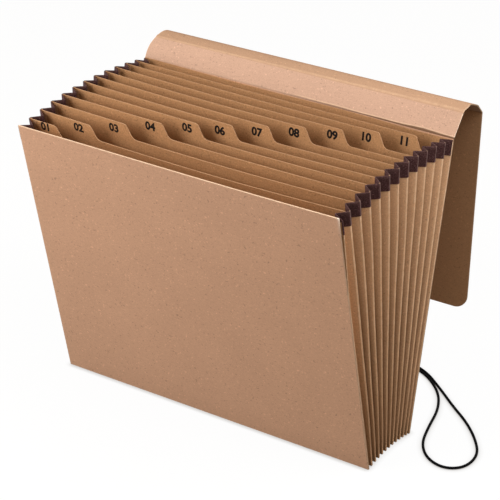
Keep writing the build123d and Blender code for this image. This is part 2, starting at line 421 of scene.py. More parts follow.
def sheet(name, grid, thickness, face_material, edge_material, wear, hole=None):
    """Closed sheet round a grid, with its own edge material. A hole is the number of a cell left out."""
    rows, columns = grid.shape[:2]
    count = rows * columns
    normals = unit(np.cross(np.gradient(grid, axis=1), np.gradient(grid, axis=0)))
    shift = normals * thickness / 2
    points = np.concatenate([(grid + shift).reshape(-1, 3), (grid - shift).reshape(-1, 3)])
    points[:, 2] = np.maximum(points[:, 2], 0)
    front = grid_faces(rows, columns)
    if hole is not None:
        front = np.delete(front, hole, axis=0)
    rim, after = open_edges(front).T
    edge = np.stack([after, rim, rim + count, after + count], axis=1)
    faces = np.concatenate([front, front[:, ::-1] + count, edge])
    kinds = [0] * (2 * len(front)) + [1] * len(edge)
    worn = both_sides(np.broadcast_to(wear, (rows, columns)))
    return add_object(name, points, faces, [face_material, edge_material], kinds, worn)


def stand_for(obj, slot, body, *nodes):
    """Says which body carries a piece and hides the solids it stands for. Its slot is not used."""
    if body:
        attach(obj, body)
    if nodes:
        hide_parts(*nodes)


# Camera, floor and light

def set_camera():
    """Camera at the photograph's viewing angle."""
    place = (0.92203, -1.38517, 1.00454)
    azimuth = math.radians(33.698)
    elevation = math.radians(27.672)
    data = bpy.data.cameras.new("camera")
    data.lens = 161.66
    data.sensor_width = 36.0
    data.clip_end = 20.0
    level = math.cos(elevation)
    right = Vector((math.cos(azimuth), math.sin(azimuth), 0))
    back = Vector((level * math.sin(azimuth), -level * math.cos(azimuth), math.sin(elevation)))
    turn = Matrix((right, back.cross(right), back)).transposed().to_4x4()
    scene.camera = new_object("camera", data)
    scene.camera.matrix_world = Matrix.Translation(place) @ turn


def seen_directly(tree):
    """1 for rays from the camera, mirrors and glass, else 0."""
    path = add_node(tree, "LightPath").outputs
    seen = maths("MAXIMUM", path["Is Camera Ray"], path["Is Glossy Ray"])
    return maths("MAXIMUM", seen, path["Is Transmission Ray"])


def set_floor():
    """White floor that keeps a faint shadow and throws little light back."""
    size = 4.0
    glow_share = 0.95
    seen_colour = (0.9, 0.9, 0.9, 1)
    bounce_colour = (0.12, 0.115, 0.105, 1)
    shade_colour = (0.40, 0.37, 0.34, 1)
    shade_reach = 5 * mm
    shade_samples = 12
    corners = [(-size, -size, 0), (size, -size, 0), (size, size, 0), (-size, size, 0)]
    mesh = bpy.data.meshes.new("floor")
    mesh.from_pydata(corners, [], [(0, 1, 2, 3)])
    new_object("floor", mesh)
    material, tree, shader = new_material("floor")
    tree.nodes.remove(shader)
    matt = add_node(tree, "BsdfDiffuse", [("Color", seen_colour)]).outputs[0]
    bounce = add_node(tree, "BsdfDiffuse", [("Color", bounce_colour)]).outputs[0]
    near = add_node(tree, "AmbientOcclusion", [("Distance", shade_reach)], samples=shade_samples)
    shade = mixed(near.outputs["AO"], shade_colour, white)
    glow = add_node(tree, "Emission", [("Color", shade), ("Strength", 1.0)]).outputs[0]
    shown = add_node(tree, "MixShader", [(0, glow_share), (1, matt), (2, glow)]).outputs[0]
    whole = add_node(tree, "MixShader", [(0, seen_directly(tree)), (1, bounce), (2, shown)])
    feed(tree.nodes["Material Output"].inputs["Surface"], whole.outputs[0])
    mesh.materials.append(material)


def set_world():
    """World that is seen white, and lights the object more from above than from the sides."""
    light_level = (0.24, 0.185, 0.11, 1)
    light_above = (0.66, 0.60, 0.52, 1)
    full_height = 0.9
    world = bpy.data.worlds.new("studio")
    world.use_nodes = True
    tree = world.node_tree
    direction = add_node(tree, "TexCoord").outputs["Generated"]
    height = add_node(tree, "SeparateXYZ", [("Vector", direction)]).outputs["Z"]
    light = mixed(ranged(height, 0.0, full_height), light_level, light_above)
    colour = mixed(seen_directly(tree), light, white)
    feed(tree.nodes["Background"].inputs["Color"], colour)
    scene.world = world


def add_lamp(name, place, target, size, power):
    data = bpy.data.lights.new(name, "AREA")
    data.shape = "DISK"
    data.size = size
    data.energy = power
    lamp = new_object(name, data)
    lamp.location = place
    lamp.rotation_euler = (Vector(target) - Vector(place)).to_track_quat("-Z", "Y").to_euler()


set_camera()
set_floor()
set_world()
add_lamp("key", place=(-0.62, -0.86, 0.62), target=(0.0, 0.0, 0.15), size=1.0, power=13.0)
add_lamp("side", place=(0.66, 0.10, 0.95), target=(0.1, 0.0, 0.15), size=0.7, power=6.8)
add_lamp("low", place=(0.95, 0.06, 0.22), target=(0.15, 0.0, 0.14), size=0.1, power=1.4)
scene.view_settings.view_transform = "Standard"


# Elastic cord, from the eyelet down to a loop on the floor and back. Its route's numbers are millimetres.

lying_height = 1.3


def at_eyelet(x, depth):
    return tuple(on_panel(leans[-1], x * mm, foot_radius + eyelet_height, depth * mm))


def behind(x, y, z=lying_height):
    """Place on the floor or above it, with depth measured from the fan's axis."""
    return (x * mm, y * mm + axis_y, z * mm)


loop_points = [
    (-1, 77, 73), (4, 87, 50), (14, 98, 27), (30, 110, 9), (51, 121.5), (79, 129), (110.7, 126.4),
    (139.2, 104.7), (154.4, 78.8), (161.7, 48), (169.5, 23), (184, 6), (202.8, 0.3), (217, 11), (217, 33.4),
    (203.2, 53.7), (184, 73), (162.8, 88.5), (140.5, 106.9), (111.9, 128.6), (79.5, 133.5), (49.5, 126),
    (26.5, 114, 9), (12, 102.5, 27), (6, 91, 50), (2.5, 79, 73),
]
cord_route = [at_eyelet(-1.4, -1.25), at_eyelet(-1.4, 12), *[behind(*point) for point in loop_points],
              at_eyelet(1.4, 12), at_eyelet(1.4, -1.25)]


def route_line(route):
    """Places along the smooth spline that a cord's route controls."""
    curve = bpy.data.curves.new("cord_route", "CURVE")
    curve.dimensions = "3D"
    spline = curve.splines.new("NURBS")
    spline.points.add(len(route) - 1)
    for point, place in zip(spline.points, route):
        point.co = (*place, 1)
    spline.order_u = 3
    spline.use_endpoint_u = True
    spline.resolution_u = 40
    return evaluated(curve)[0]


def tube_frames(line):
    """Two directions across a line at each of its places, carried along without twist."""
    along = unit(np.gradient(line, axis=0))
    side = np.cross(along[0], (0, 0, 1.0))
    sides = []
    for direction in along:
        side = unit(side - direction * side.dot(direction))
        sides.append(side)
    sides = np.array(sides)
    return sides, np.cross(along, sides)


def travelled(line):
    """Distance along a line to each of its places."""
    return np.concatenate([[0], np.cumsum(np.linalg.norm(np.diff(line, axis=0), axis=1))])


def make_cord():
    ring = 16
    yarns = 6
    braid_pitch = 4.2 * mm
    braid_relief = 0.05
    line = route_line(cord_route)
    across, over = tube_frames(line)
    angle = np.linspace(0, 2 * math.pi, ring, endpoint=False)
    phase = 2 * math.pi * travelled(line)[:, None] / braid_pitch
    crossing = np.cos(yarns / 2 * angle + phase) * np.cos(yarns / 2 * angle - phase)
    radius = cord_diameter / 2 * (1 - braid_relief * (1 - np.abs(crossing)))
    points = (line[:, None] + (radius * np.cos(angle))[..., None] * across[:, None]
              + (radius * np.sin(angle))[..., None] * over[:, None])
    index = np.arange(radius.size).reshape(radius.shape)
    beside = np.roll(index, -1, axis=1)
    quads = np.stack([index[:-1], beside[:-1], beside[1:], index[1:]], axis=-1).reshape(-1, 4)
    faces = [*quads, index[0, ::-1], index[-1]]
    cord = add_object("elastic_cord_braided", points.reshape(-1, 3), faces, [cord_material],
                      crease_degrees=60)
    store(cord.data, "yarn", np.abs(crossing))
    stand_for(cord, "elastic", "rear", "elastic_cord")


make_cord()


# Panels and dividers. Bows are counted from the front, and are negative towards it.

sheet_bows = -mm * np.array([0.8, 1.0, 4.5, 3.6, 2.2, 2.6, 4.8, 4.8, 4.6, 4.4, 2.6, 1.6, 0.0])
sheet_ripples = 0.5 * mm * rng.uniform(-1, 1, pocket_count + 1)
sheet_ripples[-1] = 0
sag_growth = 1.5
panel_rows = 15
top_wear_steps = wear_width * np.array([0.3, 1.0, 2.0])
front_rise = (2.2 * mm, 3.2 * mm)
fray_reach = 1.6 * mm
fray_steps = fray_reach * np.array([0.4, 0.8, 1.2, 1.8])
# Painted shade down the front board's right edge, starting a little below its top corner
rim_painted_shade = 0.45
rim_painted_shade_span = ([3.2 * mm, 11.2 * mm], [0, 1])
divider_wear = 0.15
slope_margins = (4 * mm, 7 * mm)
slope_step = 0.6 * mm
tab_slope = math.atan2(tab_drop, tab_slope_run)
shoulder_tangent = tab_shoulder_radius * math.tan(tab_slope / 2)
foot_tangent = tab_foot_radius * math.tan(tab_slope / 2)


def sag(index, x, share):
    """Depth by which a panel's sheet lies off its plane, nothing at its sides and its foot."""
    across = x / half_width
    bow = sheet_bows[index] * np.cos(math.pi * across / 2)
    ripple = sheet_ripples[index] * np.sin(math.pi * across)
    return np.clip(share, 0, 1) ** sag_growth * (bow + ripple)


def near_edges(values, low, high):
    """The values, with more close to both ends for wear to fade between."""
    return np.unique(np.concatenate([values, low + wear_steps, high - wear_steps]))


def across_width(count):
    """Columns across the folder's width, closer together at both sides."""
    return near_edges(np.linspace(-half_width, half_width, count), -half_width, half_width)


def edge_wear(distance):
    return np.exp(-(distance / wear_fade) ** 2)


def panel_sheet(name, index, columns, tops, thickness, materials, edge_share):
    """Sheet of a panel whose top edge stands at its own radius in each column."""
    shares = near_edges(np.linspace(0, 1, panel_rows), 0, 1)
    shares = np.union1d(shares, 1 - top_wear_steps / panel_height)
    x = np.broadcast_to(columns, (len(shares), len(columns)))
    radius = foot_radius + shares[:, None] * (tops - foot_radius)
    depth = sag(index, x, (radius - foot_radius) / panel_height)
    grid = on_panel(leans[index], x, radius, depth)
    wear = np.maximum(edge_wear(tops - radius), side_wear * edge_wear(half_width - np.abs(x)))
    return sheet(name, grid, thickness, *materials, edge_share * wear)


def tab_tops(columns, shoulder):
    """Radius of a divider's top edge: high as far as the shoulder, then a rounded slope to the low edge."""
    low = top_radius - tab_drop
    foot = shoulder + tab_slope_run
    tops = np.interp(columns, [shoulder, foot], [top_radius, low])
    first = columns - (shoulder - shoulder_tangent)
    crown = top_radius - tab_shoulder_radius + np.sqrt(np.maximum(tab_shoulder_radius ** 2 - first ** 2, 0))
    tops = np.where((first > 0) & (first < tab_shoulder_radius * math.sin(tab_slope)), crown, tops)
    last = columns - (foot + foot_tangent)
    hollow = low + tab_foot_radius - np.sqrt(np.maximum(tab_foot_radius ** 2 - last ** 2, 0))
    return np.where((last < 0) & (last > -tab_foot_radius * math.sin(tab_slope)), hollow, tops)


def make_front(columns):
    """Front board, frayed at its top right corner and with painted shade down its right edge."""
    tops = top_radius + np.interp(columns, [-half_width, half_width], front_rise)
    front = panel_sheet("front_board", 0, columns, tops, cover_board, (board, cut_edge), 1.0)
    points = mesh_points(front.data)
    away = np.linalg.norm(points - on_panel(leans[0], half_width, tops[-1], 0), axis=1)
    store(front.data, "fray", np.exp(-(away / fray_reach) ** 2))
    # Painted shade along the right edge
    rim = rim_painted_shade * edge_wear(half_width - points[:, 0]) * np.interp(away, *rim_painted_shade_span)
    store(front.data, "painted_shade", rim)
    stand_for(front, "cover_board", "front", "front_panel")


def make_panels():
    columns = np.union1d(across_width(board_columns), half_width - fray_steps)
    make_front(columns)
    for k in leaf_numbers:
        high_edge = radii_of(panel_nodes[k]) > top_radius - same_height
        shoulder = node_points(panel_nodes[k])[high_edge, 0].max() + shoulder_tangent
        first = shoulder - slope_margins[0]
        last = shoulder + tab_slope_run + slope_margins[1]
        close = np.arange(first, last, slope_step)
        own = np.union1d(columns, close[np.abs(close) < half_width])
        leaf = panel_sheet(f"divider_leaf_{k:02d}", k, own, tab_tops(own, shoulder), divider_sheet,
                           (divider_paper_shaded, divider_edge_shaded), divider_wear)
        stand_for(leaf, "divider_board", panel_bodies[k], panel_nodes[k])


make_panels()


# Rear board and its liner, both pierced under the eyelet's flanges. The liner's top edge is cut a little
# unevenly and curls off the board.

rear_rows = 24
rear_columns = 32
rear_wear = 0.6
score_overlap = 0.6 * mm
eyelet_cut = 3.8 * mm
liner_step = 0.4 * mm
liner_wave = 0.35 * mm
liner_wave_run = 31 * mm
liner_lift = 1.5 * mm
lift_growth = 14
curl_place = 112 * mm
curl_width = 24 * mm
ripple_share = 0.3
ripple_run = 40 * mm
held_width = 12 * mm


def pierced_grid(columns, tops, depth, lift):
    """Grid of a rear sheet whose top edge is lifted forward, and the number of its cell under the eyelet."""
    shares = np.linspace(0, 1, rear_rows)[:, None]
    radius = foot_radius + shares * (tops - foot_radius)
    cut = foot_radius + eyelet_height + np.array([-eyelet_cut, eyelet_cut])
    low = np.abs(radius[:, 0] - cut[0]).argmin()
    radius[low] = cut[0]
    radius[low + 1] = cut[1]
    grid = on_panel(leans[-1], columns, radius, depth - shares ** lift_growth * lift)
    hole = low * (len(columns) - 1) + np.searchsorted(columns, -eyelet_cut)
    return grid, int(hole)


def make_rear():
    columns = across_width(rear_columns)
    columns = np.sort(np.append(columns[np.abs(columns) > eyelet_cut], [-eyelet_cut, eyelet_cut]))
    wear = rear_wear * edge_wear(half_width - np.abs(columns))
    score = np.array(joints["flap_fold"]["pos_m"][1:]) - (axis_y, axis_z)
    board_tops = np.full(len(columns), np.linalg.norm(score) - score_overlap)
    grid, hole = pierced_grid(columns, board_tops, 0, 0)
    rear = sheet("rear_board", grid, cover_board, board, shaded_edge, wear, hole)
    stand_for(rear, "cover_board", "rear", "rear_panel")
    liner_tops = board_tops + liner_wave * np.sin(columns / liner_wave_run) - liner_step
    curl = np.exp(-((columns - curl_place) / curl_width) ** 2)
    ripple = ripple_share * np.cos(columns / ripple_run) ** 2
    held = np.clip((half_width - np.abs(columns)) / held_width, 0, 1)
    lift = liner_lift * (curl + ripple) * held
    grid, hole = pierced_grid(columns, liner_tops, -(cover_board + liner_sheet) / 2, lift)
    lining = sheet("rear_lining", grid, liner_sheet, divider_paper_shaded, divider_edge_shaded, wear, hole)
    stand_for(lining, "divider_board", "rear", "rear_liner")


make_rear()


# Numbers printed on the tabs. Each is shifted right and up by its own millimetres.

number_shifts = [(0, 3.2), (-2, 1.2), (-2, 0.2), (-1.5, 1.2), (0, 0.6), (-1.5, -0.6), (-0.5, -0.6), (0, 0.3),
                 (1.5, 0.5), (-1.5, 0.3), (0, 0)]


def make_numbers():
    first_centre = -136.3 * mm
    pitch = 25.26 * mm
    below_top = 7.2 * mm
    for k, (right, up) in zip(leaf_numbers, number_shifts):
        curve = bpy.data.curves.new("number", "FONT")
        curve.body = f"{k:02d}"
        curve.size = 9.8 * mm
        curve.align_x = "CENTER"
        curve.align_y = "CENTER"
        curve.offset = 0.42 * mm
        curve.extrude = 0.03 * mm
        curve.resolution_u = 5
        places, faces = evaluated(curve)
        x = first_centre + (k - 1) * pitch + right * mm + places[:, 0]
        radius = top_radius - below_top + up * mm + places[:, 1]
        depth = sag(k, x, (radius - foot_radius) / panel_height) - divider_sheet / 2 - places[:, 2]
        points = on_panel(leans[k], x, radius, depth)
        number = add_object(f"tab_number_{k:02d}", points, faces, [ink_material])
        stand_for(number, "divider_board", panel_bodies[k])


make_numbers()


# Pleated gussets and their tapes. A pleat's line is drawn from its front flange to its rear flange,
# as insets from the panels' side edges and depths behind the pocket's middle plane.

wall_shares = np.array([0.03, 0.07, 0.14, 0.28, 0.43, 0.58, 0.73, 0.88])
flange_insets = np.array([1.0, 0.5, 0.12]) * gusset_flange
flange_parts = (0, 0.3, 1)
fold_steps = 7
valley_steps = (0.0, 0.25)
valley_round = 0.9 * mm
half_columns = len(flange_insets) + fold_steps + len(wall_shares) + len(valley_steps)
first_wall = len(flange_insets) + fold_steps - 1
last_wall = 2 * half_columns - first_wall
fold_part = np.concatenate([flange_parts, np.ones(fold_steps), 1 - wall_shares, np.zeros(len(valley_steps))])
proud_fold = 1.7 * mm
proud_gap = 0.9 * mm
fold_end_drop = 1.4 * mm
free_flange = 0.03
foot_rows = 17

# How the folds wander and the walls bulge
fold_wander = 0.8 * mm
wander_mean = 0.6
wander_waves = ((0.25, 6), (0.15, 13))
wall_bulge = 0.35 * mm
swing_range = (-0.6, 1.0)
swing_mean = 0.75
swing_wave = 0.25
swing_turns = 9

# Wear on the folds and on the walls beside them, and painted highlight further along the walls
fold_rub = 0.75
beside_rub = 0.15
wall_highlight = 0.2
wall_highlight_reach = 0.5

# Rows down a pleat as shares of the way to its corner, and spans: such shares with the values there
pleat_shares = np.concatenate([[0, 0.01, 0.02, 0.05, 0.052], np.linspace(0.07, 1, 18)])
trim_span = ([0, 0.05, 0.052], [free_flange, free_flange, 1])
proud_span = ([0.05, 0.12, 0.3], [1, 0.7, 0])
wander_span = ([0.05, 0.2, 0.85, 1], [0, 1, 1, 0])
swell_span = ([0, 0.06, 0.2, 0.8, 1], [0, 0, 1, 0.7, 0])
# Wear and painted highlight fade towards the pleat's foot, which is left as painted shade
wear_and_highlight_down_span = ([0, 0.5, 1], [1, 0.65, 0.15])
# Painted shade in the pleats: its strength down the pleat, less in the foremost one, its reach from the
# valley, its least
painted_shade_down_span = ([0, 0.1, 0.33, 0.53, 0.8, 1], [0.3, 0.38, 0.58, 0.8, 0.95, 1])
first_painted_shade_span = ([0.4, 0.9], [0.1, 0.7])
painted_shade_reach_span = ([0, 0.33, 0.6, 1], [0.65, 0.58, 0.45, 0.3])
least_painted_shade_span = ([0.5, 0.75, 1], [0, 0.14, 0.4])

# Tapes
tape_columns = 45
tape_rows = 6
tape_cap_rows = 5
tape_inner_start = 1.4 * mm
tape_wear_fade = 0.35 * wear_width
tape_cap_wear = 0.12


def paper_bend(first, corner, last, share):
    """Place at a share of a bend in paper, from first round a corner to last."""
    return (1 - share) ** 2 * first + 2 * share * (1 - share) * corner + share * share * last


def glued_face(index):
    """Distance from a panel's middle plane to the face that a gusset is glued to."""
    if index == pocket_count:
        return cover_board / 2 + liner_sheet
    return cover_board / 2 if index == 0 else divider_sheet / 2


def pleat_faces(pocket, height):
    slope = math.tan(spread)
    front = glued_face(pocket - 1) / math.cos(spread) - height * slope
    rear = height * slope - glued_face(pocket) / math.cos(spread)
    return front, rear


def valley_inset(pocket, height):
    ends = np.array([pleat_foot, pleat_top])
    front, rear = pleat_faces(pocket, ends)
    return np.interp(height, ends, np.sqrt(gusset_wall ** 2 - ((rear - front) / 2 - 2 * gusset_sheet) ** 2))


def pleat_line(pocket, height):
    """Middle line of a pleat at one height, with round folds, as (inset, depth) rows."""
    front, rear = pleat_faces(pocket, height)
    middle = (front + rear) / 2
    bend = gusset_sheet / 2
    valley = np.array([valley_inset(pocket, height), middle])
    slope = math.atan2(middle - front - gusset_sheet, valley[0])
    flange = [(inset, front + bend) for inset in flange_insets]
    turns = np.linspace(0, math.pi - slope, fold_steps)
    fold = [(bend - bend * math.sin(turn), front + gusset_sheet - bend * math.cos(turn)) for turn in turns]
    start = np.array(fold[-1])
    wall_end = valley + (start - valley) * valley_round / np.linalg.norm(start - valley)
    wall = [start + (wall_end - start) * share for share in wall_shares]
    far_end = np.array([wall_end[0], 2 * middle - wall_end[1]])
    turn_part = [paper_bend(wall_end, valley, far_end, share) for share in valley_steps]
    half = np.array([*flange, *fold, *wall, *turn_part])
    mirrored = half[::-1] * (1, -1) + (0, 2 * middle)
    centre = paper_bend(wall_end, valley, far_end, 0.5)
    return np.concatenate([half, centre[None], mirrored])


def pleat_ends(pocket):
    """The pleat's line at its top and at its mitred corner, as (inset, depth, height) rows."""
    top = pleat_line(pocket, pleat_top)
    top = np.column_stack([top, np.full(len(top), pleat_top)])
    rough = pleat_line(pocket, pleat_foot)
    corner = [(*pleat_line(pocket, pleat_foot + inset)[row], pleat_foot + inset)
              for row, (inset, _) in enumerate(rough)]
    return top, np.array(corner)


def pleat_rows(pocket, top, corner, shares):
    """The pleat's line at shares of the way down to its corner. The foremost fold stands out near its top."""
    rows = top + shares[:, None, None] * (corner - top)
    if pocket == 1:
        proud = np.interp(shares, *proud_span)[:, None, None]
        rows[:, :half_columns, :2] += proud * fold_part[:, None] * (-proud_fold, proud_gap)
    return rows


def across_pleat(fold, wall, valley, mirror=1):
    """Values across a pleat's line: none on the flanges, then those of folds, walls and valley, mirrored."""
    half = np.concatenate([np.zeros(len(flange_insets)), np.full(fold_steps, fold), wall,
                           np.full(len(valley_steps), valley)])
    return np.concatenate([half, [valley], mirror * half[::-1]])


# Wear on the folds and just beside them; painted highlight on the outer half of each wall
wall_wear_and_highlight = (beside_rub * edge_wear(wall_shares * gusset_wall)
             + wall_highlight * np.clip(1 - wall_shares / wall_highlight_reach, 0, 1))
pleat_wear_and_highlight = across_pleat(fold_rub, wall_wear_and_highlight, 0.0)
pleat_bulge = across_pleat(0.0, np.sin(math.pi * wall_shares), 0.0, mirror=-1)


def fan_share(pocket, points):
    """Share of the way from the rear panel of a pocket to its front panel."""
    angle = np.arctan2(points[..., 1] - axis_y, points[..., 2] - axis_z)
    return (leans[pocket] - angle) / (leans[pocket] - leans[pocket - 1])


def fold_with(obj, pocket, grid, front_share, rear_share):
    """Bakes a sheet's placement into its points. Its grid and the two shares are not used."""
    rear_place = on_panel(leans[pocket], 0, top_radius, 0)
    front_place = on_panel(leans[pocket - 1], 0, top_radius, 0)
    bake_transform(obj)


fold_phases = rng.uniform(0, 2 * math.pi, (pocket_count + 1, len(wander_waves)))


def wander(index, sign, shares):
    """Reach by which the folds beside a divider stand out past its side edge, from the top down."""
    if index in (0, pocket_count):
        return np.zeros((len(shares), 1))
    reach = np.full(len(shares), wander_mean)
    for (size, turns), phase in zip(wander_waves, fold_phases[index] + sign):
        reach += size * np.sin(turns * shares + phase)
    return (fold_wander * reach * np.interp(shares, *wander_span))[:, None]


def pleat_painted_shade(pocket, down):
    """Painted shade in a pleat's valleys, darker towards its foot, in rows at shares of the way down. The
    foremost pleat has less.
    """
    strengths = np.interp(down, *painted_shade_down_span)
    if pocket == 1:
        strengths *= np.interp(down, *first_painted_shade_span)
    reaches = np.interp(down, *painted_shade_reach_span)
    least = np.interp(down, *least_painted_shade_span)
    rows = []
    for strength, reach, low in zip(strengths, reaches, least):
        shade_paint = across_pleat(0.0, np.clip(wall_shares / reach, 0, 1), 1.0)
        rows.append(np.maximum(strength * shade_paint, low))
    return np.array(rows)


def make_gusset(pocket):
    """One folded strip: down the left side, along the foot and up the right side."""
    top, corner = pleat_ends(pocket)
    shares = pleat_shares
    side = pleat_rows(pocket, top, corner, shares)
    side[0, np.r_[:first_wall + 1, last_wall:len(top)], 2] -= fold_end_drop
    swell = np.interp(shares, *swell_span)
    drift = rng.uniform(0, 2 * math.pi, 2)
    swings = []
    for turn in drift:
        wave = swing_mean + swing_wave * np.sin(swing_turns * shares + turn)
        swings.append(rng.uniform(*swing_range) * wave * swell)
    lean = (leans[pocket] + leans[pocket - 1]) / 2
    runs = []
    for sign, swing in zip((-1, 1), swings):
        inset = side[..., 0].copy()
        if sign > 0:
            trim = np.interp(shares, *trim_span)[:, None]
            if pocket > 1:
                inset[:, :len(flange_insets)] *= trim
            if pocket < pocket_count:
                inset[:, -len(flange_insets):] *= trim
        inset[:, :half_columns] -= wander(pocket - 1, sign, shares) * fold_part
        inset[:, half_columns + 1:] -= wander(pocket, sign, shares) * fold_part[::-1]
        depth = side[..., 1] + wall_bulge * swing[:, None] * pleat_bulge
        runs.append(on_panel(lean, sign * (half_width - inset), side[..., 2], depth))
    along = np.linspace(0, 1, foot_rows)[1:-1, None, None]
    bottom = runs[0][-1] + along * (runs[1][-1] - runs[0][-1])
    grid = np.concatenate([runs[0], bottom, runs[1][::-1]])
    down = np.concatenate([shares, np.ones(len(bottom)), shares[::-1]])
    wear = np.interp(down, *wear_and_highlight_down_span)[:, None] * pleat_wear_and_highlight
    gusset = sheet(f"pleat_{pocket:02d}", grid, gusset_sheet, gusset_paper, divider_edge_shaded, wear)
    # Painted shade in the valleys, stronger towards the foot
    store(gusset.data, "painted_shade", both_sides(pleat_painted_shade(pocket, down)))
    walls = fan_share(pocket, grid[:, [first_wall, last_wall]])
    fold_with(gusset, pocket, grid, walls[:, :1], walls[:, 1:])
    stand_for(gusset, "gusset_paper", None, f"gusset_{pocket:02d}")


def tape_line(pocket, top, corner, drop, skip):
    """Places and outward directions along a pleat's walls, a drop below its top.

    A line that skips nothing goes on round the outer folds to the middle of each divider's edge."""
    share = drop / (pleat_top - pleat_foot)
    start = len(flange_insets) - 1 if pocket == 1 else first_wall
    line = pleat_rows(pocket, top, corner, np.array([share]))[0, start:last_wall + 1, :2]
    half_mouth = (pleat_top - drop) * math.tan(spread)
    beyond = (1 - skip / tape_inner_start) * (half_mouth - np.abs(line[[0, -1], 1]))
    if pocket > 1:
        line = np.concatenate([[line[0] - (0, beyond[0] + hair)], line])
    if pocket < pocket_count:
        line = np.concatenate([line, [line[-1] + (0, beyond[1] + hair)]])
    travel = travelled(line)
    marks = np.linspace(skip, travel[-1] - skip, tape_columns)
    places = np.stack([np.interp(marks, travel, line[:, part]) for part in (0, 1)], axis=1)
    along = unit(np.gradient(places, axis=0))
    return places, np.stack([-along[:, 1], along[:, 0]], axis=1)


def make_tape(pocket, side_name, sign):
    """Short strip of tape: up the outside of a pleat, over its top edge and down its inside."""
    top, corner = pleat_ends(pocket)
    lift = gusset_sheet / 2 + tape_glue + tape_sheet / 2
    drops = np.linspace(tape_height, 0, tape_rows)
    turns = np.linspace(0, math.pi, tape_cap_rows + 2)[1:-1]
    steps = [(drop, lift, 0.0) for drop in drops]
    steps += [(-lift * math.sin(turn), lift * math.cos(turn), (1 - math.cos(turn)) / 2) for turn in turns]
    steps += [(drop, -lift, 1.0) for drop in drops[::-1]]
    lean = (leans[pocket] + leans[pocket - 1]) / 2
    grid = []
    for drop, offset, inner in steps:
        places, outward = tape_line(pocket, top, corner, max(drop, 0), inner * tape_inner_start)
        moved = places + outward * offset
        grid.append(on_panel(lean, sign * (half_width - moved[:, 0]), pleat_top - drop, moved[:, 1]))
    grid = np.array(grid)
    across = np.linspace(0, 2 * gusset_wall, tape_columns)
    rubbed = across[::-1] if pocket == 1 else np.minimum(across, across[::-1])
    fold_wear = np.exp(-(rubbed / tape_wear_fade) ** 2)
    cap_wear = np.array([tape_cap_wear if drop <= 0 else 0.0 for drop, _, _ in steps])
    wear = np.maximum(fold_wear, cap_wear[:, None])
    tape = sheet(f"tape_{side_name}_{pocket:02d}", grid, tape_sheet, tape_material, tape_material, wear)
    ends = pleat_rows(pocket, top, corner, np.zeros(1))[0, [first_wall, last_wall], 1]
    fold_with(tape, pocket, grid, *fan_share(pocket, on_panel(lean, 0, pleat_top, ends)))
    stand_for(tape, "gusset_tape", None, f"gusset_tape_{side_name}_{pocket:02d}")


for pocket in range(1, pocket_count + 1):
    make_gusset(pocket)
    make_tape(pocket, "left", -1)
    make_tape(pocket, "right", 1)


# Flap: one scored board, cut into strips just before each score so that a strip bends at its own score.
# Bends have a row for the left end and one for the right end. The shifts, forward and down from the solids'
# scores, are for the right end.

flap_joints = ("flap_fold", "roof_1_bend", "roof_2_bend", "roof_3_bend", "cover_fold")
flap_nodes = ("flap_riser", "flap_roof_1", "flap_roof_2", "flap_roof_3", "flap_cover")
# Lit and shaded copies of one board's kraft: painted light on the riser, painted shade on the roof and cover
flap_papers = (riser_paper_lit, roof_paper_shaded, roof_paper_shaded, roof_paper_shaded, cover_paper_shaded)
flap_edges = (painted_lit_edge, cut_edge, shaded_edge, shaded_edge, shaded_edge)
flap_bends = mm * np.array([[0.5, 1.6, 5.8, 5.8, 1.2], [0.5, 2.2, 2.0, 1.6, 0.8]])
right_shifts = mm * np.array([(0, 0), (0, 0), (-1.0, -1.2), (-2.0, -1.2), (-1.9, -1.1), (-1.2, -0.6),
                              (-1.0, -1.8)])
riser_strip = 0
cover_strip = len(flap_nodes) - 1
run_rows = (6, 2, 2, 2)
bend_rows = 9
cover_rows = 20
corner_rows = 9
riser_foot_marks = np.arange(0.3, 3.4, 0.3) * mm
riser_foot_end = 3.5 * mm
flap_droop = 6.2 * mm
riser_bulge = 2.5 * mm
tight_bend = 4 * mm
score_wear = 0.35
score_wear_spread = 0.3
score_painted_shade = 0.6
score_shade_spread = 0.35

# The uneven line along the riser's foot: its waves as (size, run, phase), its wedge at the right, the pale
# tear above it and the painted shadow in it
torn_height = 0.2 * mm
torn_unevenness = 0.45 * mm
torn_waves = ((0.35, 17 * mm, 0), (0.25, 6.3 * mm, 1))
wedge_height = 0.7 * mm
wedge_place = 124 * mm
wedge_width = 14 * mm
tear_wear = 0.9
tear_rise = 0.9 * mm
tear_width = 0.45 * mm
foot_shadow_span = ([-50 * mm, 90 * mm], [0.1, 0.85])
foot_shadow_reach = 0.4 * mm
foot_shadow_fullness = 1.5


def flap_corners():
    """Scores of the flap as (depth, height) places, between a place on the rear panel and the free end."""
    scores = [np.array(joints[name]["pos_m"][1:]) for name in flap_joints]
    cover = node_points("flap_cover")[:, 1:]
    reach = np.linalg.norm(cover - scores[-1], axis=1)
    free_end = cover[reach > reach.max() - same_end].mean(axis=0)
    start = scores[0] - score_overlap * np.array([math.sin(leans[-1]), math.cos(leans[-1])])
    return np.array([start, *scores, free_end])


def run_marks(strip, length):
    """Where the rows of a strip's flat run lie, closer at the riser's foot and the cover's corners."""
    if strip == cover_strip:
        flat = length - corner_radius
        turns = np.linspace(0, math.pi / 2, corner_rows)[1:]
        corner = flat + corner_radius * np.sin(turns)
        return np.concatenate([np.linspace(0, flat, cover_rows)[1:], corner])
    marks = np.linspace(0, length, run_rows[strip])[1:]
    if strip == riser_strip:
        return np.concatenate([riser_foot_marks, marks[marks > riser_foot_end]])
    return marks


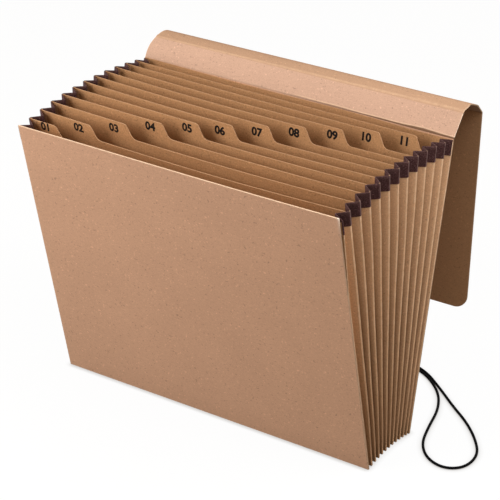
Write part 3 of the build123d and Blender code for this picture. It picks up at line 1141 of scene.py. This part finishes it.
def flap_rows(end):
    """Rows of each strip as (places, weights of the turning body), at the left, 0, or the right end, 1."""
    corners = flap_corners() + end * right_shifts
    bends = flap_bends[end]
    shares = np.linspace(0, 1, bend_rows)
    strips = []
    start = corners[0]
    for strip, bend in enumerate(bends):
        before, score, after = corners[strip:strip + 3]
        leaves = unit(after - score)
        first = score - unit(score - before) * bend
        last = score + leaves * bend
        stop = after if strip == cover_strip else after - leaves * bends[strip + 1]
        lead = [start] if np.linalg.norm(start - first) > same_reach else []
        curve = [paper_bend(first, score, last, share) for share in shares]
        run = [last + leaves * mark for mark in run_marks(strip, np.linalg.norm(stop - last))]
        weights = np.concatenate([np.zeros(len(lead)), shares, np.ones(len(run))])
        strips.append((np.array(lead + curve + run), weights))
        start = stop
    return strips


def near_score(weights, spread_share):
    """1 in the middle of a bend, fading to both sides."""
    return np.exp(-((weights - 0.5) / spread_share) ** 2)


def riser_foot(x, climb):
    """Pale tear and painted shadow along the riser's foot, at distances from its score."""
    uneven = sum(size * np.sin(x / run + phase) for size, run, phase in torn_waves)
    wedge = wedge_height * np.exp(-((x - wedge_place) / wedge_width) ** 2)
    line = np.maximum(torn_height + torn_unevenness * uneven + wedge, 0)
    tear = tear_wear * np.exp(-((climb - line - tear_rise) / tear_width) ** 2) * (x > 0)
    # Painted shadow along the foot, fainter towards the left
    fullness = np.clip(foot_shadow_fullness - (climb / (foot_shadow_reach + line)) ** 2, 0, 1)
    return tear, np.interp(x, *foot_shadow_span) * fullness


def make_flap_strip(strip, left_rows, right_rows, weights):
    """One strip of the flap. Its painted shade is kept apart for its outer and its inner side."""
    columns = across_width(board_columns) / half_width
    first, second = flap_corners()[1:3]
    rise = unit(second - first)
    rows = left_rows[:, None] + (columns[:, None] + 1) / 2 * (right_rows - left_rows)[:, None]
    widths = np.full(len(rows), half_width)
    if strip == cover_strip:
        to_end = np.linalg.norm(left_rows - left_rows[-1], axis=1)
        into = np.maximum(corner_radius - to_end, 0)
        widths -= corner_radius - np.sqrt(corner_radius ** 2 - into ** 2)
    x = widths[:, None] * columns
    leftward = (half_width - x) / (2 * half_width)
    risen = 1.0
    if strip == riser_strip:
        risen = np.clip((rows[..., 1] - first[1]) / (second[1] - first[1]), 0, 1)
    grid = np.stack([x, rows[..., 0], rows[..., 1] - flap_droop * risen * leftward], axis=-1)
    score_rub = score_wear * near_score(weights, score_wear_spread) * (flap_bends[0, strip] < tight_bend)
    wear = np.maximum(side_wear * edge_wear(widths[:, None] - np.abs(x)), score_rub[:, None])
    shade_paint = np.zeros((2, *x.shape))
    if strip == riser_strip:
        climb = np.linalg.norm(left_rows - first, axis=1)[:, None]
        bulge = riser_bulge * np.sin(math.pi * climb / climb[-1]) * leftward ** 2 * weights[:, None]
        grid[..., 1] -= bulge * rise[1]
        grid[..., 2] += bulge * rise[0]
        tear, shade_paint[:] = riser_foot(x, climb)
        wear = np.maximum(wear, tear)
    if strip == cover_strip:
        # Painted shade on the inner side of the cover's score
        shade_paint[1] = score_painted_shade * near_score(weights, score_shade_spread)[:, None]
    made = sheet(f"flap_board_{strip + 1}", grid, cover_board, flap_papers[strip], flap_edges[strip], wear)
    store(made.data, "painted_shade", shade_paint)
    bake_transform(made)
    stand_for(made, "cover_board", None, flap_nodes[strip])


for strip, ((left_rows, weights), (right_rows, _)) in enumerate(zip(flap_rows(0), flap_rows(1))):
    make_flap_strip(strip, left_rows, right_rows, weights)


# Metal at the cord's root. The rolls are (radius, height above the face they lie on), in millimetres.

outer_roll = [(3.0, 0), (3.15, 0.3), (3.5, 0.5), (4.6, 0.45), (5.3, 0.3), (5.5, 0.08), (5.4, 0), (3.5, 0)]
inner_roll = [(3.5, 0), (5.4, 0), (5.5, 0.08), (5.3, 0.25), (3.4, 0.33), (3.1, 0.2), (3.0, 0)]


def make_eyelet():
    """Rolled ring through the rear panel and its liner, turned from one closed outline."""
    segments = 48
    outside = cover_board / 2
    inside = -(cover_board / 2 + liner_sheet)
    outline = [(radius * mm, outside + height * mm) for radius, height in outer_roll]
    outline += [(radius * mm, inside - height * mm) for radius, height in inner_roll]
    reach, depth = np.array(outline).T[..., None]
    angle = np.linspace(0, 2 * math.pi, segments, endpoint=False)
    radius = foot_radius + eyelet_height + reach * np.sin(angle)
    points = on_panel(leans[-1], reach * np.cos(angle), radius, depth).reshape(-1, 3)
    index = np.arange(len(points)).reshape(len(outline), segments)
    beside = np.roll(index, -1, axis=1)
    quads = [index, beside, np.roll(beside, -1, axis=0), np.roll(index, -1, axis=0)]
    faces = np.stack(quads, axis=-1).reshape(-1, 4)
    eyelet = add_object("rolled_eyelet", points, faces, [brass], crease_degrees=50)
    stand_for(eyelet, "eyelet_brass", "rear", "cord_eyelet")


make_eyelet()
clip = frame["nodes"]["cord_clip"]
clip.data.materials.clear()
clip.data.materials.append(steel)
